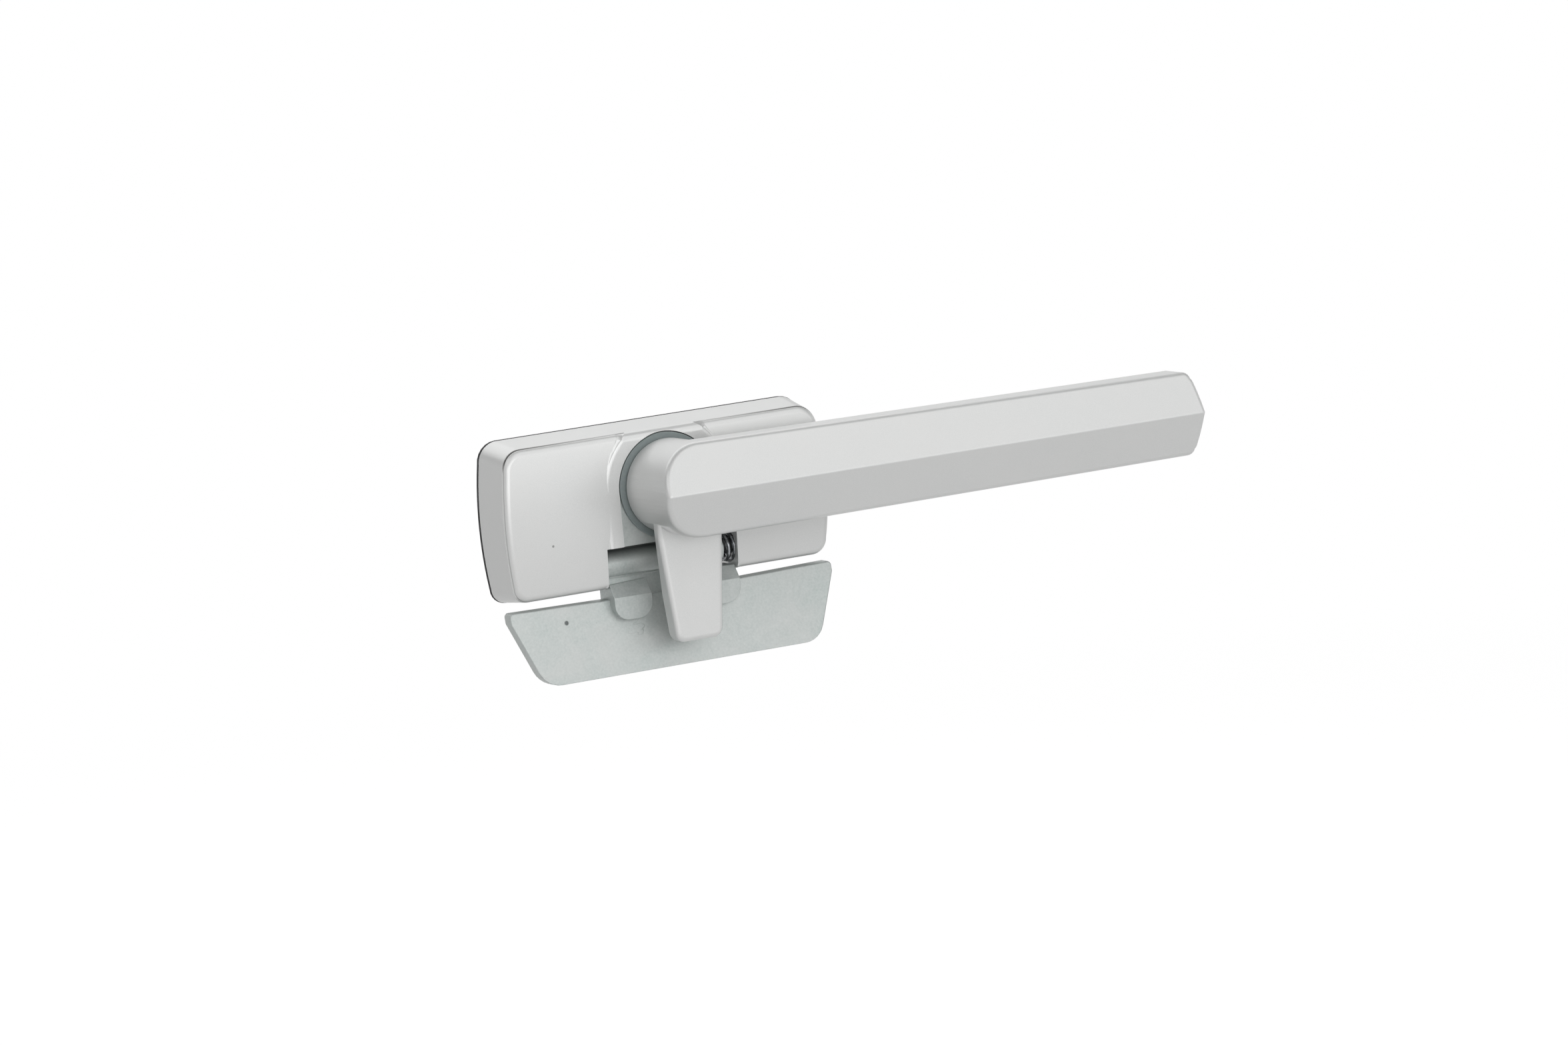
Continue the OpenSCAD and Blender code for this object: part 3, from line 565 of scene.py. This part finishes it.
def make_body():
    """The shell, with its rounded front edge, crown, pad and seam, and the node's own inside."""
    pad = combine(pad_block(), body_block(False, PAD_ROUND), "INTERSECT")
    shell = combine(body_block(True, FRONT_ROUND), pad, "UNION")
    shell = combine(shell, to_object(solid_copy("body_casting"), "inner"), "INTERSECT")
    shell.name = "body_shell"
    bm = joined_copy(shell.data, CUT_JOIN)
    weigh_edges(bm, lambda edge: 1 if on_cut_edge(edge) else 0)
    # Corners on the seam's floor carry painted shade, which fades in towards the top of the body
    shaded_seam = bm.verts.layers.float.new("shaded_seam")
    fade_from, fade_to = SEAM_SHADE_LEVELS
    for v in bm.verts:
        if min((v.co - place).length for place in seam_places) < SEAM_NEAR * MM:
            v[shaded_seam] = min(1, max(0, (v.co.z / MM - fade_from) / (fade_to - fade_from)))
    bm.to_mesh(shell.data)
    bm.free()
    round_edges(shell, CUT_ROUND, CUT_STEPS)
    stand_for(shell, "body_casting", 30)


make_body()


# Handle and tongue

HANDLE_ROUND, HANDLE_STEPS = 1.5, 6
RIDGE_HEIGHT, RIDGE_SLACK, HUB_FOOT = 28.0, 0.1, 12
RIDGE_SHARE, FOOT_SHARE, EDGE_SHARE = 0.16, 0.15, 0.6


def handle_weight(edge):
    """Share of the largest rounding: crisp on the ridge and at the hub's foot, wide elsewhere."""
    if not is_sharp(edge) or not edge.is_convex:
        return 0
    if min(heights(edge)) > RIDGE_HEIGHT and max(map(abs, levels(edge))) < RIDGE_SLACK:
        return RIDGE_SHARE
    return FOOT_SHARE if max(heights(edge)) < HUB_FOOT else EDGE_SHARE


def make_handle():
    """Hub, blade and beak. Unclamped, so that the short edges at the hub don't limit the others."""
    bm = solid_copy("handle")
    weigh_edges(bm, handle_weight)
    made = to_object(bm, "lever_casting")
    round_edges(made, HANDLE_ROUND, HANDLE_STEPS, clamp=False)
    stand_for(made, "handle")


TONGUE_ROUND, TONGUE_STEPS = 0.6, 4
BOSS_FACE, BOSS_HALF, BOSS_FOOT = 10.3, 14, -26
# The ledge's lower edge, how far up it runs, and its fall for each millimetre upwards
BOSS_RIDGE, LEDGE_RUN, LEDGE_FALL = -20.2, 4, 0.72
WEDGE_CLEAR, WEDGE_HALF = 2, 20
BARREL_FOOT = -17.5
FACE_SLACK, RIDGE_LINE_SLACK = 0.1, 0.2
LEDGE_SHARE, BOSS_SHARE = 0.2, 0.4


def ledge_cutter():
    """Wedge that slopes the upper part of the tongue's two bosses back to the barrel."""
    outer, top = BOSS_FACE + WEDGE_CLEAR, BOSS_RIDGE + LEDGE_RUN
    profile = [(BOSS_FACE, BOSS_RIDGE), (outer, BOSS_RIDGE), (outer, top),
               (BOSS_FACE - LEDGE_RUN * LEDGE_FALL, top)]
    bm = bmesh.new()
    end = bm.faces.new([bm.verts.new(spot(-WEDGE_HALF, h, z)) for h, z in profile])
    push_out(bm, end, (2 * WEDGE_HALF * MM, 0, 0))
    bmesh.ops.recalc_face_normals(bm, faces=bm.faces)
    return to_object(bm, "ledge")


def tongue_weight(edge):
    """Share of the largest rounding: crisp round the bosses, wider on the plate's rim."""
    if not is_sharp(edge, 25) or not edge.is_convex:
        return 0
    lowest = min(levels(edge))
    if min(heights(edge)) > BOSS_FACE - FACE_SLACK:
        return LEDGE_SHARE if lowest > BOSS_RIDGE - RIDGE_LINE_SLACK else BOSS_SHARE
    on_boss = max(map(abs, across(edge))) < BOSS_HALF and lowest > BOSS_FOOT
    return BOSS_SHARE if lowest > BARREL_FOOT or on_boss else 1


def make_tongue():
    """The casting with its plate, barrel and bosses."""
    made = to_object(solid_copy("tongue"), "tongue_casting")
    made = combine(made, ledge_cutter(), "DIFFERENCE")
    bm = joined_copy(made.data, CUT_JOIN)
    weigh_edges(bm, tongue_weight)
    bm.to_mesh(made.data)
    bm.free()
    round_edges(made, TONGUE_ROUND, TONGUE_STEPS)
    stand_for(made, "tongue")


make_handle()
make_tongue()


# Spring

SPRING_X, SPRING_PITCH, SPRING_RADIUS, SPRING_TURNS, TURN_STEPS = 12.3, 1.3, 2.6, 2, 24
WIRE, WIRE_EASE, LEG = 0.8, 0.005, 4.6
PIN_HEIGHT, PIN_LEVEL = 5.6, -14.2


def coil(turn):
    """The wire's place round the tongue pin, a number of turns after its start."""
    a = 2 * math.pi * turn
    return spot(SPRING_X + SPRING_PITCH * turn, PIN_HEIGHT - SPRING_RADIUS * math.cos(a),
                PIN_LEVEL + SPRING_RADIUS * math.sin(a))


def make_spring():
    """A lower leg, the coils and an upper leg, as one length of round wire."""
    down, up = Vector((0, 0, -1)), Vector((0, 0, 1))
    start, end = coil(0), coil(SPRING_TURNS)
    path = [start + down * d * MM for d in (LEG, LEG / 2, WIRE)]
    path += [coil(i / TURN_STEPS) for i in range(SPRING_TURNS * TURN_STEPS + 1)]
    path += [end + up * d * MM for d in (WIRE, LEG / 2, LEG)]
    data = bpy.data.curves.new("spring_wire", "CURVE")
    data.dimensions = "3D"
    line = data.splines.new("POLY")
    line.points.add(len(path) - 1)
    for point, place in zip(line.points, path):
        point.co = (*place, 1)
    data.bevel_depth = (WIRE / 2 - WIRE_EASE) * MM
    data.bevel_resolution = 4
    data.use_fill_caps = True
    wire = bpy.data.objects.new("wire", data)
    scene.collection.objects.link(wire)
    mesh = plain_mesh(wire)
    bpy.data.objects.remove(wire)
    made = bpy.data.objects.new("spring_coil", mesh)
    scene.collection.objects.link(made)
    stand_for(made, "tongue_spring", 50)


make_spring()


# Smaller pieces

# Width of each piece's eased edges
eased = {"bearing_plate": 0.15, "hub_bush": 0.12, "back_plate": 0.12, "fixing_inserts": 0.2,
         "base_gasket": 0.08, "tongue_pin": 0.15, "pin_keepers": 0.12, "spindle": 0.2,
         "tongue_pad": 0.25, "stop_washer": 0.08, "bearing_plate_screws": 0.12,
         "back_plate_screws": 0.08, "stop_pins": 0.1}
EASED_STEPS = 2

DRIVE_REACH, DRIVE_HALF, DRIVE_DEEP, DRIVE_OUT = 1.45, 0.3, 1.1, 0.2
# Level between the upper and the lower pair of the back plate's screws
SCREWS_PART = -2.0
HEAD_SLACK = 0.01


def drive_cutter(bm):
    """Upright crosses that cut the drive recesses into the back plate's screws."""
    back = max(v.co.y for v in bm.verts)
    rim = [v.co for v in bm.verts if v.co.y > back - HEAD_SLACK * MM]
    corners = [(DRIVE_HALF, DRIVE_REACH), (DRIVE_HALF, DRIVE_HALF), (DRIVE_REACH, DRIVE_HALF)]
    cross = [(x, z) for x, z in corners] + [(x, -z) for x, z in reversed(corners)]
    cross += [(-x, z) for x, z in reversed(cross)]
    cutter = bmesh.new()
    for side, level in ((-1, 1), (1, 1), (-1, -1), (1, -1)):
        head = [co for co in rim if co.x * side > 0 and (co.z - SCREWS_PART * MM) * level > 0]
        middle = Vector((sum(co.x for co in head), 0, sum(co.z for co in head))) / len(head)
        start = middle + Vector((0, back + DRIVE_OUT * MM, 0))
        flat = [cutter.verts.new(start + Vector((x, 0, z)) * MM) for x, z in cross]
        push_out(cutter, cutter.faces.new(flat), (0, -(DRIVE_DEEP + DRIVE_OUT) * MM, 0))
    bmesh.ops.recalc_face_normals(cutter, faces=cutter.faces)
    return to_object(cutter, "drives")


def cut_drives(bm):
    """The back plate's screws with their drive recesses."""
    drives = drive_cutter(bm)
    cut = combine(to_object(bm, "screws"), drives, "DIFFERENCE")
    recessed = bmesh.new()
    recessed.from_mesh(cut.data)
    bpy.data.objects.remove(cut)
    return recessed


def make_eased(node, width):
    """The node's own shape with its sharp edges eased."""
    bm = solid_copy(node)
    if node == "back_plate_screws":
        bm = cut_drives(bm)
    weigh_edges(bm, lambda edge: 1 if is_sharp(edge, 40) else 0)
    made = to_object(bm, node + "_eased")
    round_edges(made, width, EASED_STEPS)
    stand_for(made, node)


for node, width in eased.items():
    make_eased(node, width)

# These keep their CAD shape, and only get their finish
for node in ("friction_washer", "disc_spring", "circlip"):
    nodes[node].data.materials.clear()
    nodes[node].data.materials.append(finishes[slot_of[node]])


# Floor and light

AMBIENT, CEILING, CEILING_FROM, CEILING_TO = 0.02, 0.3, 0.3, 0.5
FLOOR_DULL, FLOOR_PALE, FLOOR_GLOW, FLOOR_ROUGH = 0.45, 0.9, 0.5, 0.9
# Distances in metres over which the floor runs out into white, and its size and level
WHITE_FROM, WHITE_TO, FLOOR_SIZE, FLOOR_LEVEL = 0.28, 0.7, 8, -140
# The point that the softboxes face, in metres
LIT_POINT = (0.03, 0, 0)


def seen_rays(tree):
    """Output of 1 for rays from the camera, a glossy surface or glass, and 0 for the others."""
    path = tree.nodes.new("ShaderNodeLightPath")
    share = path.outputs["Is Camera Ray"]
    for kind in ("Is Glossy Ray", "Is Transmission Ray"):
        either = tree.nodes.new("ShaderNodeMath")
        either.operation = "MAXIMUM"
        tree.links.new(share, either.inputs[0])
        tree.links.new(path.outputs[kind], either.inputs[1])
        share = either.outputs[0]
    return share


def floor_paint():
    """Pale floor that takes the shadow near the fastener and runs out into plain white."""
    material = bpy.data.materials.new("floor_paint")
    material.use_nodes = True
    tree = material.node_tree
    shader = tree.nodes["Principled BSDF"]
    seen = seen_rays(tree)
    tree.links.new(ramp(tree, seen, 0, 1, FLOOR_DULL, FLOOR_PALE), shader.inputs["Base Color"])
    shader.inputs["Roughness"].default_value = FLOOR_ROUGH
    shader.inputs["Emission Color"].default_value = (1, 1, 1, 1)
    tree.links.new(ramp(tree, seen, 0, 1, 0, FLOOR_GLOW), shader.inputs["Emission Strength"])
    place = tree.nodes.new("ShaderNodeTexCoord")
    length = tree.nodes.new("ShaderNodeVectorMath")
    length.operation = "LENGTH"
    tree.links.new(place.outputs["Object"], length.inputs[0])
    far = tree.nodes.new("ShaderNodeMath")
    far.operation = "MULTIPLY"
    tree.links.new(ramp(tree, length.outputs["Value"], WHITE_FROM, WHITE_TO, 0, 1), far.inputs[0])
    tree.links.new(seen, far.inputs[1])
    white = tree.nodes.new("ShaderNodeEmission")
    white.inputs["Color"].default_value = (1, 1, 1, 1)
    mixed = tree.nodes.new("ShaderNodeMixShader")
    tree.links.new(far.outputs[0], mixed.inputs["Fac"])
    tree.links.new(shader.outputs[0], mixed.inputs[1])
    tree.links.new(white.outputs[0], mixed.inputs[2])
    tree.links.new(mixed.outputs[0], tree.nodes["Material Output"].inputs["Surface"])
    return material


def make_floor():
    bm = bmesh.new()
    level = Matrix.Translation(spot(0, 0, FLOOR_LEVEL))
    bmesh.ops.create_grid(bm, x_segments=1, y_segments=1, size=FLOOR_SIZE, matrix=level)
    floor = to_object(bm, "floor")
    floor.data.materials.append(floor_paint())


def make_world():
    """White surroundings with a greyer ceiling, whose diffuse light is weaker than what is seen."""
    world = bpy.data.worlds.new("studio")
    scene.world = world
    world.use_nodes = True
    tree = world.node_tree
    sky = tree.nodes["Background"]
    tree.links.new(ramp(tree, seen_rays(tree), 0, 1, AMBIENT, 1), sky.inputs["Strength"])
    place = tree.nodes.new("ShaderNodeTexCoord")
    parts = tree.nodes.new("ShaderNodeSeparateXYZ")
    tree.links.new(place.outputs["Generated"], parts.inputs[0])
    shade = ramp(tree, parts.outputs["Z"], CEILING_FROM, CEILING_TO, 1, CEILING)
    tree.links.new(shade, sky.inputs["Color"])


def lamp(name, turn, rise, away, size, glow):
    """A softbox that the fastener sees at a turn to the right and a rise, with its brightness."""
    turn, rise = math.radians(turn), math.radians(rise)
    flat = math.cos(rise)
    place = Vector((math.sin(turn) * flat, -math.cos(turn) * flat, math.sin(rise))) * away
    data = bpy.data.lights.new(name, "AREA")
    data.shape = "RECTANGLE"
    data.size, data.size_y = size
    data.energy = glow * math.pi * size[0] * size[1]
    made = bpy.data.objects.new(name, data)
    made.location = place + Vector(LIT_POINT)
    made.rotation_mode = "QUATERNION"
    made.rotation_quaternion = (-place).to_track_quat("-Z", "Y")
    scene.collection.objects.link(made)


make_floor()
make_world()
lamp("key softbox", 28, 50, 1.3, (1.5, 0.95), 1.3)
lamp("upper left softbox", -62, 46, 1.3, (0.9, 0.7), 1.4)
lamp("front softbox", 30, 12, 1.3, (0.6, 0.5), 1.15)
lamp("left softbox", -12, 12, 1.3, (1.25, 0.8), 1.8)
lamp("back softbox", 180, 49, 1.5, (1.8, 1.1), 1.5)
